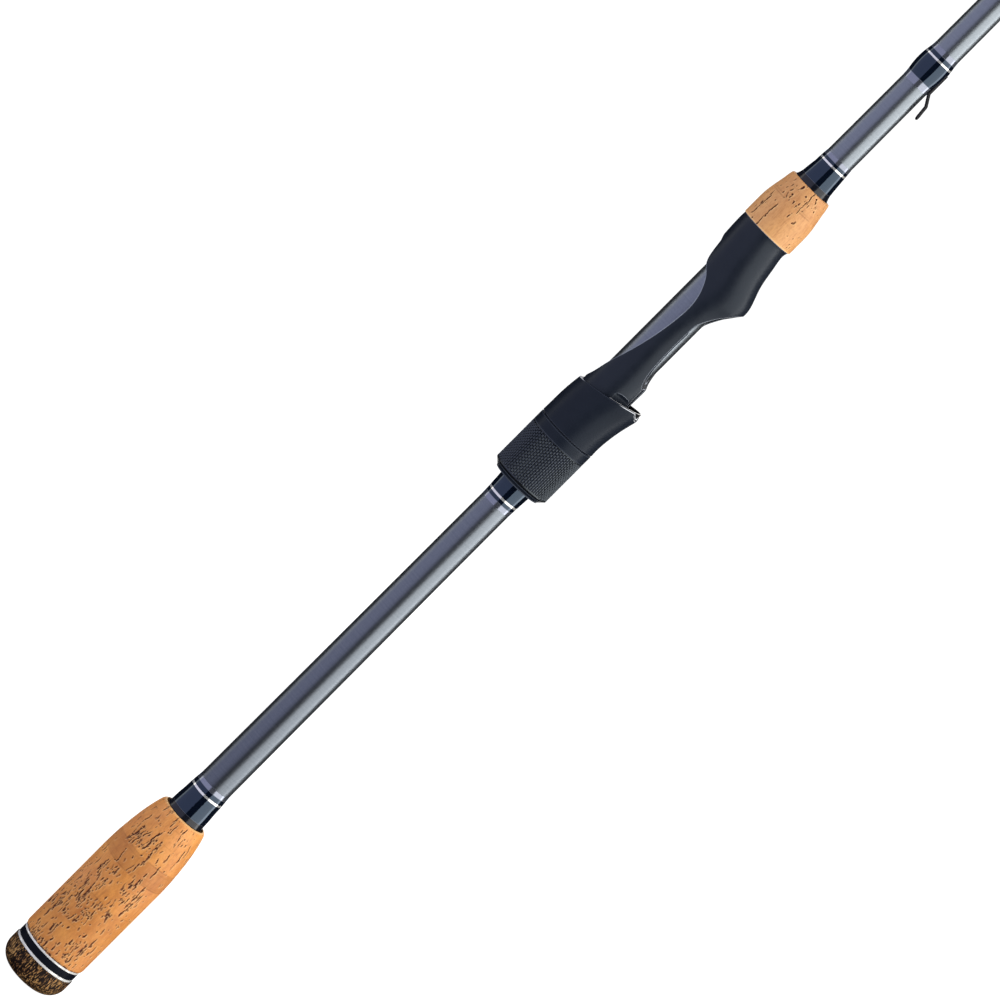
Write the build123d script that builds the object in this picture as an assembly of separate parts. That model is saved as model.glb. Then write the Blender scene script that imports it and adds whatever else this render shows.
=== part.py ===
from build123d import *
import math
import os

# Two-piece spinning rod, 2.13 m (7 ft) long. It stands along +Z with the centre of its butt end at
# the origin. The reel seat's saddle and the line guides face +X. All sizes are in millimetres.

# ---- driving dimensions ------------------------------------------------------------------------
RUNNING_GAP = 0.3  # between pieces that slide or turn past each other

# Heights of the joints between pieces, from the butt end up.
CAP_TOP = 9.9
REAR_RING_TOP = 10.9
BAND_TOP = 13.7
BUTT_CORK_BASE = 14.5
BUTT_CORK_TOP = 80.5
BUTT_CHECK_TOP = 82.6
BUTT_WRAP_TOP = 95.6
REAR_WRAP_BASE = 233.5
SEAT_BASE = 246.0
SEAT_TOP = 364.2
FORE_CORK_SEAM = 377.0
FORE_CORK_TOP = 385.2
FORE_CHECK_TOP = 387.5
FORE_WRAP_TOP = 398.6
KEEPER_WRAP_BASE = 434.0
KEEPER_WRAP_TOP = 449.2
SOCKET_BASE = 1035.0  # the tip section starts here
SPIGOT_TOP = 1100.0  # the butt section ends here
BLANK_TOP = 2130.0

# Tapered carbon blank: (height, outside radius).
BUTT_BLANK = ((3.5, 6.75), (230, 6.07), (405, 5.33), (SOCKET_BASE, 3.75), (SPIGOT_TOP, 3.6))
TIP_BLANK = ((SOCKET_BASE, 4.55), (1112, 4.2), (1250, 3.5), (BLANK_TOP, 0.95))
BLANK_WALL = 1.0
SPIGOT_CLEARANCE = 0.05
TIP_HOLLOW_END = 1900.0
TIP_HOLLOW_END_RADIUS = 0.6

# Grips.
GRIP_RADIUS = 13.1
BUTT_CORK_SEAMS = (28.3, 40.9, 54.8, 62.6)
FORE_GRIP_RADIUS = 10.45
CAP_RADIUS = 13.0
CAP_CORNER = 6.5
TRIM_RADIUS = 12.7

# Wraps: thread under epoxy, with a band of metallic thread let into the surface.
TRIM_DEPTH = 0.15

# Reel seat, size 16.
SLEEVE_RADIUS = 7.1
SLEEVE_BORE = 6.2
BARREL_RADIUS = 9.3
SADDLE_HEIGHT = 8.33  # distance of the saddle's flat from the axis
SHOULDER_FLAT = 8.55  # distance of the barrel's two shoulder flats from the axis
KEYWAY_FLOOR = 7.5
KEYWAY_HALF_WIDTH = 2.6
PITCH = 2.5
THREAD_ROOT = 8.5
THREAD_CREST = 9.25
THREAD_BASE = 247.5
THREAD_TOP = 279.0
BARREL_TURNS = 12.2

# Lock nut and moving hood.
NUT_BASE = 243.6
NUT_RADIUS = 11.5
NUT_CORE_RADIUS = 10.2
NUT_THREAD_TURNS = 5
GRIP_SLEEVE_BASE = 245.2
GRIP_SLEEVE_TOP = 264.0
NUT_TOP = 268.0
HOOD_BASE = 268.4
HOOD_BORE = 9.6
NECK_RADIUS = 10.05
BEAD_RADIUS = 10.5
NECK_TOP = 271.0
LINER_WALL = 0.45

# Guides: (number, height, ring size, ring centre above the blank, feet).
GUIDES = (
    (1, 940, 25.0, 27.0, 2),
    (2, 1232, 16.0, 17.5, 2),
    (3, 1454, 12.0, 12.5, 2),
    (4, 1639, 8.0, 8.5, 1),
    (5, 1791, 7.0, 7.2, 1),
    (6, 1918, 6.0, 6.2, 1),
    (7, 2032, 6.0, 6.0, 1),
)


# ---- shared shapes -----------------------------------------------------------------------------
def turned(outside, inside):
    """Turn the area between two curves about Z. Both rise in (radius, height)."""
    top = Line(outside @ 1, inside @ 1)
    base = Line(inside @ 0, outside @ 0)
    return revolve(make_face(Plane.XZ * (outside + top + inside + base)), Axis.Z)


def tube(inner, outer, base, top):
    """Plain tube about Z."""
    return turned(Line((outer, base), (outer, top)), Line((inner, base), (inner, top)))


def radius_at(height, stations):
    """Outside radius of a blank at a height, by straight tapers between its stations."""
    for (low, low_radius), (high, high_radius) in zip(stations, stations[1:]):
        if height <= high:
            share = (height - low) / (high - low)
            return low_radius + share * (high_radius - low_radius)
    return stations[-1][1]


def blank_line(base, top, stations, offset=0.0):
    """Straight line in (radius, height) along a blank's surface, or offset from it."""
    start = (radius_at(base, stations) + offset, base)
    return Line(start, (radius_at(top, stations) + offset, top))


def on_blank(outside, stations=BUTT_BLANK):
    """Turned piece fitted on a blank."""
    return turned(outside, blank_line((outside @ 0).Y, (outside @ 1).Y, stations))


def oval(height, low_x, high_x, half_width):
    """Ellipse across the rod, given by where it crosses the X axis."""
    centre = (low_x + high_x) / 2
    return Pos(centre, 0, height) * Ellipse((high_x - low_x) / 2, half_width)


def oval_body(sections):
    """Smooth body through ovals given as (height, low x, high x, half width)."""
    return loft([oval(*section) for section in sections])


def side_cut(outline, half_width=30.0):
    """Block whose side outline in (x, height) runs straight across the rod."""
    face = make_face(Plane.XZ * outline)
    return extrude(face, amount=half_width, both=True)


def bar(start, end, radius, end_radius=None):
    """Round bar between two points, tapered when end_radius is given, with round ends."""
    end_radius = radius if end_radius is None else end_radius
    run = Vector(*end) - Vector(*start)
    place = Plane(origin=start, z_dir=run)
    shaft = loft([place * Circle(radius), place.offset(run.length) * Circle(end_radius)])
    return shaft + Pos(*start) * Sphere(radius) + Pos(*end) * Sphere(end_radius)


def let_in_band(wrap, base, top, surface_radius):
    """Split a wrap into the thread and the metallic band let into its surface."""
    zone = tube(surface_radius - TRIM_DEPTH, surface_radius + 5, base, top)
    return wrap - zone, wrap & zone


def save(name, shape):
    """Write one node."""
    export_step(shape, f"parts/{name}.step")


# ---- butt grip ---------------------------------------------------------------------------------
def butt_cap():
    """Cup of rubberised cork with a large round corner, closed over the blank's end."""
    blank_end = BUTT_BLANK[0][0]
    corner = RadiusArc((CAP_RADIUS - CAP_CORNER, 0), (CAP_RADIUS, CAP_CORNER), -CAP_CORNER)
    outside = Line((0, 0), (CAP_RADIUS - CAP_CORNER, 0)) + corner
    outside += Line((CAP_RADIUS, CAP_CORNER), (CAP_RADIUS, CAP_TOP))
    seat = Line((0, blank_end), (radius_at(blank_end, BUTT_BLANK), blank_end))
    inside = seat + Line(seat @ 1, (radius_at(CAP_TOP, BUTT_BLANK), CAP_TOP))
    return turned(outside, inside)


def plain_ring(base, top):
    """Ring of the butt trim, on the blank, with eased edges."""
    ease = 0.15
    outside = Polyline(
        (TRIM_RADIUS - ease, base),
        (TRIM_RADIUS, base + ease),
        (TRIM_RADIUS, top - ease),
        (TRIM_RADIUS - ease, top),
    )
    return on_blank(outside)


def cork_rings(outline, seams):
    """Cork rings cut from one turned shape at their seams."""
    blank = on_blank(outline)
    heights = [(outline @ 0).Y, *seams, (outline @ 1).Y]
    rings = []
    for base, top in zip(heights, heights[1:]):
        rings += (blank & tube(1, GRIP_RADIUS + 5, base, top)).solids()
    return Compound(children=rings)


def butt_grip_cork():
    """Straight grip that tapers to the blank at its front end."""
    straight_base = BUTT_CORK_BASE + 1.5
    straight_top = 54.0
    nose = 1.6
    ease = Spline(
        (TRIM_RADIUS, BUTT_CORK_BASE),
        (GRIP_RADIUS, straight_base),
        tangents=((0.4, 1), (0, 1)),
    )
    taper = Spline(
        (GRIP_RADIUS, straight_top),
        (12.35, 66.0),
        (11.35, 73.0),
        (9.95, 78.9),
        tangents=((0, 1), (-0.3, 1)),
    )
    outline = ease + Line((GRIP_RADIUS, straight_base), (GRIP_RADIUS, straight_top)) + taper
    outline += Spline(taper @ 1, (9.95 - nose, BUTT_CORK_TOP), tangents=((-0.3, 1), (-1, 0.15)))
    return cork_rings(outline, BUTT_CORK_SEAMS)


def butt_wrap_pieces():
    """Check, thread wrap and metallic band ahead of the butt grip."""
    check = on_blank(Spline((7.75, BUTT_CORK_TOP), (7.5, 81.4), (7.42, BUTT_CHECK_TOP)))
    surface = Spline(
        (7.42, BUTT_CHECK_TOP),
        (7.22, 86),
        (7.06, 88),
        (6.9, 91.5),
        (6.66, 94),
        (6.5, BUTT_WRAP_TOP),
    )
    wrap, band = let_in_band(on_blank(surface), 91.25, 92.05, 6.9)
    return check, wrap, band


# ---- fore grip and wraps on the butt section ---------------------------------------------------
def rear_wrap_pieces():
    """Thread wrap that runs up into the back of the reel seat."""
    surface = Spline(
        (6.1, REAR_WRAP_BASE),
        (6.17, 235.5),
        (6.3, 238),
        (6.55, 242),
        (6.77, SEAT_BASE),
    )
    return let_in_band(on_blank(surface), 236.8, 237.6, 6.28)


def fore_grip_cork():
    """Short fore grip that tapers to the blank."""
    straight_top = 371.0
    outline = Line((FORE_GRIP_RADIUS, SEAT_TOP), (FORE_GRIP_RADIUS, straight_top))
    outline += Spline(
        (FORE_GRIP_RADIUS, straight_top),
        (9.7, 378),
        (9.05, 381.5),
        (8.7, 383.6),
        tangents=((0, 1), (-0.25, 1)),
    )
    outline += Spline((8.7, 383.6), (7.9, FORE_CORK_TOP), tangents=((-0.25, 1), (-1, 0.15)))
    return cork_rings(outline, [FORE_CORK_SEAM])


def fore_wrap_pieces():
    """Check, thread wrap and metallic band ahead of the fore grip."""
    check = on_blank(Spline((7.3, FORE_CORK_TOP), (6.8, 386.3), (6.45, FORE_CHECK_TOP)))
    surface = Spline((6.45, FORE_CHECK_TOP), (6.05, 391.4), (5.62, 396.5), (5.4, FORE_WRAP_TOP))
    wrap, band = let_in_band(on_blank(surface), 395.1, 395.8, 5.73)
    return check, wrap, band


def hook_keeper():
    """Wire loop: both legs lie on the blank, and the loop leans out towards the butt."""
    wire_radius = 0.45
    half_gap = 1.35
    leg_end = 443.5
    leg_x = radius_at(leg_end, BUTT_BLANK) + wire_radius - 0.1
    side = ((leg_x, leg_end), (leg_x, 435.2), (8.0, 431.4), (8.5, 426.4))
    out = [(x, half_gap, height) for x, height in side]
    back = [(x, -half_gap, height) for x, height in reversed(side)]
    route = FilletPolyline(*out, *back, radius=1.2)
    section = Plane(origin=route @ 0, z_dir=route % 0) * Circle(wire_radius)
    blank_core = turned(blank_line(420, 450, BUTT_BLANK), Line((0, 420), (0, 450)))
    return sweep(section, path=route) - blank_core


def keeper_wrap_pieces(keeper):
    """Thread wrap over the keeper's legs."""
    surface = Spline(
        (5.3, KEEPER_WRAP_BASE),
        (5.41, 436),
        (5.8, 438.6),
        (6.0, 441.8),
        (5.85, 444.6),
        (5.33, 448),
        (5.24, KEEPER_WRAP_TOP),
    )
    return let_in_band(on_blank(surface) - keeper, 444.95, 445.65, 5.78)


# ---- blank -------------------------------------------------------------------------------------
def blank_butt():
    """Butt section: a tapered tube that ends in the spigot of the ferrule."""
    outside = Polyline(*[(radius, height) for height, radius in BUTT_BLANK])
    inside = Polyline(*[(radius - BLANK_WALL, height) for height, radius in BUTT_BLANK])
    return turned(outside, inside)


def blank_tip():
    """Tip section: its socket slides over the spigot, and its last stretch is solid."""
    socket_top = SPIGOT_TOP + 2
    outside = Polyline(*[(radius, height) for height, radius in TIP_BLANK])
    socket_radius = radius_at(SOCKET_BASE, BUTT_BLANK) + SPIGOT_CLEARANCE
    socket_top_radius = BUTT_BLANK[-1][1] + SPIGOT_CLEARANCE
    inside = Polyline(
        (socket_radius, SOCKET_BASE),
        (socket_top_radius, SPIGOT_TOP),
        (socket_top_radius, socket_top),
        (radius_at(1112, TIP_BLANK) - BLANK_WALL, 1112),
        (TIP_HOLLOW_END_RADIUS, TIP_HOLLOW_END),
        (0, TIP_HOLLOW_END + 2),
        (0, BLANK_TOP),
    )
    return turned(outside, inside)


def ferrule_wraps():
    """Reinforcing wraps at the ferrule: below it, and on the socket with a metallic band."""
    below = on_blank(
        Polyline((4.3, 1012), (4.45, 1014), (4.4, SOCKET_BASE - 5), (4.25, SOCKET_BASE - 3)),
    )
    socket_surface = Polyline((4.9, SOCKET_BASE + 0.5), (5.0, 1037), (4.85, 1062), (4.6, 1066))
    socket, band = let_in_band(on_blank(socket_surface, TIP_BLANK), 1060.5, 1061.5, 4.85)
    return below, socket, band


# ---- reel seat ---------------------------------------------------------------------------------
def thread_ridge(embedded, crest, base, length):
    """Helical ridge with sloping flanks, from the embedded radius to the crest radius."""
    half_root, half_crest = 0.26 * PITCH, 0.15 * PITCH
    path = Helix(PITCH, length, embedded)
    outline = Polyline(
        (embedded, -half_root),
        (crest, -half_crest),
        (crest, half_crest),
        (embedded, half_root),
        close=True,
    )
    section = make_face(Plane.XZ * outline)
    return Pos(0, 0, base) * sweep(section, path=path, is_frenet=True)


def seat_envelope():
    """Outer skin of the seat body before its windows: barrel, waist and fixed hood."""
    waist = oval_body(
        (
            (THREAD_TOP + 5, -BARREL_RADIUS, BARREL_RADIUS, BARREL_RADIUS),
            (292, -BARREL_RADIUS, BARREL_RADIUS, BARREL_RADIUS),
            (306, -9.2, 9.2, 9.2),
            (319, -9.25, 9.5, 9.25),
            (328, -9.3, 11.2, 9.5),
            (334, -9.4, 13.0, 9.8),
            (339.6, -9.6, 14.5, 10.05),
            (344.5, -9.7, 13.35, 10.1),
            (351, -9.85, 11.25, 10.1),
            (357, -10.15, 10.2, 10.1),
            (SEAT_TOP, -10.15, 10.15, 10.1),
        )
    )
    barrel = tube(SLEEVE_RADIUS, THREAD_ROOT, SEAT_BASE, THREAD_TOP)
    collar = tube(SLEEVE_RADIUS, BARREL_RADIUS, THREAD_TOP, THREAD_TOP + 5)
    ridge = thread_ridge(THREAD_ROOT - 0.1, THREAD_CREST, THREAD_BASE, BARREL_TURNS * PITCH)
    return waist + collar + barrel + ridge


def upper_window():
    """Everything above the rails' upper edges, from the collar to the fixed hood's step."""
    far = -20
    edge = Spline(
        (-9.4, 286.6),
        (-7.85, 290.3),
        (-6.55, 295.4),
        (-4.72, 301),
        (-1.7, 312),
        (0.13, 323.5),
        (0.11, 332),
        (-2.0, 338),
        (-4.3, 341),
        (-6.35, 342.8),
        (-7.75, 346),
        (-8.7, 351.6),
    )
    step = Line(edge @ 1, (-10.1, 354.4))
    close = Polyline(step @ 1, (far, 354.4), (far, 286.6), edge @ 0)
    return side_cut(edge + step + close)


def lower_window():
    """Everything below the saddle and the rails' lower edges, up to the fixed hood's lip."""
    far = 25
    edge = Spline(
        (SADDLE_HEIGHT, 296),
        (7.6, 298),
        (6.65, 301),
        (5.95, 308),
        (5.8, 315),
        (5.95, 322),
        (6.4, 326),
        (7.75, 329),
        (9.45, 332),
        (11.65, 335),
        (14.9, 338.9),
        tangents=((0, 1), (1, 1)),
    )
    run_in = Polyline((far, SEAT_BASE - 1), (SADDLE_HEIGHT, SEAT_BASE - 1), edge @ 0)
    close = Polyline(edge @ 1, (far, 338.9), (far, SEAT_BASE - 1))
    return side_cut(edge + run_in + close)


def fixed_hood_pocket():
    """Hollow that takes the front end of the reel's foot."""
    mouth = oval_body(
        (
            (322, -4, 10.5, 7.0),
            (331, -5, 11.6, 7.6),
            (339.6, -5, 12.9, 8.2),
            (346, -4, 11.0, 7.3),
            (353, -3, 8.8, 5.6),
        )
    )
    above_sleeve = Pos(10 + SLEEVE_RADIUS / 2, 0, 338) * Box(20, 30, 40)
    return mouth & above_sleeve


def shoulder_flats():
    """Flats on the barrel's two +X shoulders, each with a round run-out ahead of the hood."""
    around = 47
    flat_top = 290.2
    run_out = RadiusArc((SHOULDER_FLAT, flat_top), (BARREL_RADIUS + 0.1, 291.6), 1.7)
    sides = Polyline(
        run_out @ 1, (12, 291.6), (12, THREAD_TOP), (SHOULDER_FLAT, THREAD_TOP), run_out @ 0
    )
    cut = side_cut(run_out + sides, 4)
    return Rot(0, 0, around) * cut + Rot(0, 0, -around) * cut


def seat_body():
    """Moulded reel seat: threaded barrel, saddle, two rails and the fixed hood."""
    keyway_top = 297.0
    body = seat_envelope() - fixed_hood_pocket() - upper_window() - lower_window()
    body -= shoulder_flats()
    keyway = Pos(KEYWAY_FLOOR + 5, 0, (SEAT_BASE + keyway_top) / 2 - 1) * Box(
        10, 2 * KEYWAY_HALF_WIDTH, keyway_top - SEAT_BASE + 2
    )
    return body - keyway - tube(0, SLEEVE_RADIUS, SEAT_BASE - 5, SEAT_TOP + 5)


def seat_arbors():
    """Three rings that pack the blank out to the sleeve's bore."""
    rings = []
    for base in (250, 292, 334):
        outside = Line((SLEEVE_BORE, base), (SLEEVE_BORE, base + 25))
        rings += on_blank(outside).solids()
    return Compound(children=rings)


# ---- lock nut and moving hood ------------------------------------------------------------------
def lock_nut():
    """Nut with an internal thread, a front band, and a snap bead that the hood turns on."""
    chamfer = 2.3
    ease = 0.3
    bore = THREAD_CREST + 0.2
    outside = Polyline(
        (NUT_RADIUS - chamfer, NUT_BASE),
        (NUT_RADIUS - chamfer + GRIP_SLEEVE_BASE - NUT_BASE, GRIP_SLEEVE_BASE),
        (NUT_CORE_RADIUS, GRIP_SLEEVE_BASE),
        (NUT_CORE_RADIUS, GRIP_SLEEVE_TOP),
        (NUT_RADIUS, GRIP_SLEEVE_TOP),
        (NUT_RADIUS, NUT_TOP - ease),
        (NUT_RADIUS - ease, NUT_TOP),
        (NECK_RADIUS, NUT_TOP),
        (NECK_RADIUS, NECK_TOP - 1.0),
        (BEAD_RADIUS, NECK_TOP - 0.8),
        (BEAD_RADIUS, NECK_TOP - 0.4),
        (NECK_RADIUS, NECK_TOP),
    )
    inside = Line((bore, NUT_BASE), (bore, NECK_TOP))
    ridge = thread_ridge(
        bore + 0.1, THREAD_ROOT + 0.25, THREAD_BASE + PITCH / 2, NUT_THREAD_TURNS * PITCH
    )
    return turned(outside, inside) + ridge


def nut_grip():
    """Rubber sleeve moulded round the nut, under its knurl."""
    chamfer_top = NUT_BASE + 2.3
    ease = 0.2
    outside = Polyline(
        (NUT_RADIUS - chamfer_top + GRIP_SLEEVE_BASE, GRIP_SLEEVE_BASE),
        (NUT_RADIUS, chamfer_top),
        (NUT_RADIUS, GRIP_SLEEVE_TOP - ease),
        (NUT_RADIUS - ease, GRIP_SLEEVE_TOP),
    )
    inside = Line((NUT_CORE_RADIUS, GRIP_SLEEVE_BASE), (NUT_CORE_RADIUS, GRIP_SLEEVE_TOP))
    return turned(outside, inside)


def below_mouth_plane(raised=0.0):
    """Everything below the moving hood's slanting front rim."""
    reach = 20
    outline = Polyline(
        (-reach, HOOD_BASE - 5),
        (reach, HOOD_BASE - 5),
        (reach, 291.5 + raised),
        (-reach, 283.0 + raised),
        close=True,
    )
    return side_cut(outline)


def hood_hollow(grow=0.0):
    """Room for the reel's foot in the hood, opening towards the mouth on the +X side."""
    return oval_body(
        (
            (274, -7.0 - grow, 9.0 + grow, 7.5 + grow),
            (280, -7.0 - grow, 10.6 + grow, 8.2 + grow),
            (286, -7.0 - grow, 12.5 + grow, 9.0 + grow),
            (294, -7.0 - grow, 12.9 + grow, 9.2 + grow),
        )
    )


def moving_hood():
    """Cup that slides along the barrel, flared on the +X side over the reel's foot."""
    skin = oval_body(
        (
            (HOOD_BASE, -NUT_RADIUS, NUT_RADIUS, NUT_RADIUS),
            (273, -11.4, 11.5, 11.4),
            (279, -11.2, 12.2, 11.3),
            (283, -10.8, 13.0, 11.1),
            (287, -10.3, 14.0, 11.0),
            (293, -10.2, 15.0, 11.0),
        )
    )
    lip_bevel = side_cut(
        Polyline((14.05, 287.2), (12.0, 290.6), (20, 290.6), (20, 287.2), close=True)
    )
    lip_top = NECK_TOP - 1.3
    groove_top = NECK_TOP + 0.4
    cup = (skin & below_mouth_plane()) - lip_bevel - hood_hollow(LINER_WALL)
    cup -= tube(0, NECK_RADIUS + RUNNING_GAP, HOOD_BASE - 1, lip_top)
    cup -= tube(0, BEAD_RADIUS + RUNNING_GAP, lip_top, groove_top)
    cup -= tube(0, HOOD_BORE, groove_top, 300)
    key_floor = KEYWAY_FLOOR + RUNNING_GAP
    key_crown = HOOD_BORE + 0.2
    key = Pos((key_floor + key_crown) / 2, 0, (groove_top + THREAD_TOP) / 2) * Box(
        key_crown - key_floor, 2 * (KEYWAY_HALF_WIDTH - RUNNING_GAP), THREAD_TOP - groove_top
    )
    return cup + key


def hood_liner():
    """Thin metal shell that lines the hood's mouth where the reel's foot bears."""
    shell = hood_hollow(LINER_WALL) - hood_hollow() - tube(0, HOOD_BORE, NECK_TOP, 300)
    crescent = Pos(23, 0, 290) * Box(40, 40, 20)
    return shell & below_mouth_plane(0.25) & crescent


# ---- line guides -------------------------------------------------------------------------------
def eased_ring(inner, outer, depth):
    """Ring about Z, centred on its own middle, with rounded edges."""
    ease = min(0.3, 0.3 * (outer - inner))
    section = fillet(Rectangle(outer - inner, depth).vertices(), ease)
    return revolve(Plane.XZ * Pos((inner + outer) / 2, 0) * section, Axis.Z)


def guide_foot(base, toe, thickness, stations):
    """Tongue that lies along the blank and narrows towards its toe."""
    low, high = min(base, toe), max(base, toe)
    shell = turned(blank_line(low, high, stations, thickness), blank_line(low, high, stations))
    heel_half, toe_half = 1.6 * thickness, 0.7 * thickness
    outline = Polyline(
        (-heel_half, base), (heel_half, base), (toe_half, toe), (-toe_half, toe), close=True
    )
    return shell & extrude(make_face(Plane.YZ * outline), amount=20, dir=(1, 0, 0))


def foot_wrap(low, high, thickness, stations):
    """Thread wrap round the blank and over one foot, built up on the +X side."""
    thread = 0.25
    end = 0.3 * (high - low)
    sections = []
    for height, lift in ((low, 0.1), (low + end, thickness), (high - end, thickness), (high, 0.1)):
        radius = radius_at(height, stations) + thread
        sections.append((height, -radius, radius + lift, radius))
    core = turned(blank_line(low, high, stations), Line((0, low), (0, high)))
    return oval_body(sections) - core


def guide(height, size, reach, feet, stations):
    """Frame, ceramic ring and wraps of one guide, on the +X side of the blank."""
    bezel_wall = 0.35 + 0.035 * size
    ring_wall = 0.45 + 0.05 * size
    bezel_depth = 1.0 + 0.06 * size
    wire = 0.4 + 0.018 * size
    foot_length = 7.0 + 0.3 * size
    stride = 2.0 + 0.62 * size
    centre = radius_at(height, stations) + reach
    outer = size / 2
    insert = outer - bezel_wall
    shoulder_angle = math.radians(35)
    place = Pos(centre, 0, height)

    frame = place * eased_ring(insert, outer, bezel_depth)
    wraps = []
    for direction in (1, -1)[:feet]:
        ankle_height = height + direction * stride
        toe = ankle_height + direction * foot_length
        frame += guide_foot(ankle_height - direction * wire, toe, wire, stations)
        for hand in (1, -1):
            ankle = (radius_at(ankle_height, stations) + wire, hand * wire * 0.6, ankle_height)
            across = hand * (outer - bezel_wall / 2) * math.cos(shoulder_angle)
            down = centre - (outer - bezel_wall / 2) * math.sin(shoulder_angle)
            frame += bar(ankle, (down, across, height), wire)
        ends = sorted((ankle_height + direction * 1.2, toe + direction * 2.5))
        wraps.append(foot_wrap(*ends, wire, stations))
    bore = place * Cylinder(insert, 10 * bezel_depth)
    core_ends = (height - stride - foot_length - 5, height + stride + foot_length + 5)
    core = turned(blank_line(*core_ends, stations), Line((0, core_ends[0]), (0, core_ends[1])))
    frame = frame - bore - core

    ring = place * eased_ring(insert - ring_wall, insert, bezel_depth + 0.5)
    wraps = [solid for wrap in wraps for solid in (wrap - frame).solids()]
    return frame, ring, Compound(children=wraps)


def tip_top():
    """Tube glued on the tip, with a braced ring at the very end, and its wrap."""
    tube_base, tube_top = 2119.0, 2130.0
    tube_wall = 0.35
    size = 6.2
    bezel_wall = 0.5
    depth = 1.4
    reach = 4.1
    place = Pos(reach, 0, tube_top + 3.0)
    insert = size / 2 - bezel_wall
    sleeve_outside = Line(
        (radius_at(tube_base, TIP_BLANK) + tube_wall, tube_base),
        (radius_at(tube_top, TIP_BLANK) + tube_wall, tube_top),
    )
    frame = on_blank(sleeve_outside, TIP_BLANK) + place * eased_ring(insert, size / 2, depth)
    root = radius_at(tube_top, TIP_BLANK)
    frame += tube(0, root + tube_wall, tube_top, tube_top + 0.4)
    side = size / 2 - bezel_wall / 2
    frame += bar((0.2, 0, tube_top + 0.3), (reach - side, 0, tube_top + 3.0), 0.5)
    for hand in (1, -1):
        frame += bar((root + 0.3, hand * 0.5, 2124), (reach, hand * side, tube_top + 2.7), 0.42)
    tip_core = turned(blank_line(2100, tube_top, TIP_BLANK), Line((0, 2100), (0, tube_top)))
    frame = frame - place * Cylinder(insert, 10) - tip_core
    ring = place * eased_ring(insert - 0.7, insert, depth + 0.5)
    wrap_surface = Polyline((1.25, 2110), (1.4, 2112), (1.42, 2117), (1.35, tube_base))
    return frame, ring, on_blank(wrap_surface, TIP_BLANK)


# ---- write every node --------------------------------------------------------------------------
def main():
    os.makedirs("parts", exist_ok=True)
    save("butt_cap", butt_cap())
    save("butt_trim_ring_rear", plain_ring(CAP_TOP, REAR_RING_TOP))
    save("butt_trim_band", plain_ring(REAR_RING_TOP, BAND_TOP))
    save("butt_trim_ring_front", plain_ring(BAND_TOP, BUTT_CORK_BASE))
    save("butt_grip_cork", butt_grip_cork())
    check, wrap, band = butt_wrap_pieces()
    save("butt_winding_check", check)
    save("butt_wrap", wrap)
    save("butt_wrap_trim", band)

    save("blank_butt", blank_butt())
    save("blank_tip", blank_tip())
    below, socket, band = ferrule_wraps()
    save("ferrule_wrap", below)
    save("socket_wrap", socket)
    save("socket_wrap_trim", band)

    wrap, band = rear_wrap_pieces()
    save("rear_wrap", wrap)
    save("rear_wrap_trim", band)
    save("seat_core_sleeve", tube(SLEEVE_BORE, SLEEVE_RADIUS, SEAT_BASE, SEAT_TOP))
    save("seat_arbors", seat_arbors())
    save("seat_body", seat_body())
    save("lock_nut", lock_nut())
    save("nut_grip", nut_grip())
    save("moving_hood", moving_hood())
    save("hood_liner", hood_liner())

    save("fore_grip_cork", fore_grip_cork())
    check, wrap, band = fore_wrap_pieces()
    save("fore_winding_check", check)
    save("fore_wrap", wrap)
    save("fore_wrap_trim", band)
    keeper = hook_keeper()
    wrap, band = keeper_wrap_pieces(keeper)
    save("hook_keeper", keeper)
    save("keeper_wrap", wrap)
    save("keeper_wrap_trim", band)

    for number, height, size, reach, feet in GUIDES:
        stations = BUTT_BLANK if height < SOCKET_BASE else TIP_BLANK
        frame, ring, wrap = guide(height, size, reach, feet, stations)
        save(f"guide_{number}_frame", frame)
        save(f"guide_{number}_ring", ring)
        save(f"guide_{number}_wrap", wrap)
    frame, ring, wrap = tip_top()
    save("tip_top_frame", frame)
    save("tip_top_ring", ring)
    save("tip_top_wrap", wrap)


main()
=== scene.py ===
import math
import random

import bpy
import numpy as np
from mathutils import Matrix, Vector


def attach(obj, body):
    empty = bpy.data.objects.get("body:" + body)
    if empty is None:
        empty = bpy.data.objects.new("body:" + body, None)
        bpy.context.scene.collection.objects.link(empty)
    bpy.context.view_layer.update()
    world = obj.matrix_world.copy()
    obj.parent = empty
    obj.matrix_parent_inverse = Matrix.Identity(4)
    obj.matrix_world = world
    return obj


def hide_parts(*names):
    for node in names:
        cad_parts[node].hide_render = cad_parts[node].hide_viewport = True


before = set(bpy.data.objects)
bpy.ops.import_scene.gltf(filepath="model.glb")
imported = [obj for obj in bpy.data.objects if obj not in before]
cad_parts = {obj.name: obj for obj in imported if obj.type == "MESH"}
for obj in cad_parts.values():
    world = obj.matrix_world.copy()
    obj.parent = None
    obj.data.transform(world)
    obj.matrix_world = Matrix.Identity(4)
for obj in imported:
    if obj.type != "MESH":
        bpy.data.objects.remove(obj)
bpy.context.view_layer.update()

# Spinning rod on a white studio floor. It stands along +Z on its butt cap, with the reel seat's
# saddle and the line guides towards +X. Lengths are in metres unless a name ends in _MM.

MM = 0.001
TURN = 2 * math.pi

# ---- camera, floor and lights ------------------------------------------------------------------
VIEW_AZIMUTH = math.radians(7)  # from straight in front, towards the guides' side
VIEW_ELEVATION = math.radians(8.5)
VIEW_DISTANCE = 1.8
VIEW_HEIGHT = 0.2355  # where the camera's axis crosses the rod
VIEW_ROLL = math.radians(44.955)
VIEW_WIDTH = 0.340  # width of the view at the rod
SENSOR_MM = 36

# The softboxes stand round the rod and reach past both its ends.
PANEL_DISTANCE = 1.3
PANEL_HEIGHT = 3.05
PANEL_CENTRE = 1.175


def around(azimuth, radius, height):
    """Point at an azimuth measured from -Y towards +X."""
    return Vector((radius * math.sin(azimuth), -radius * math.cos(azimuth), height))


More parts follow.
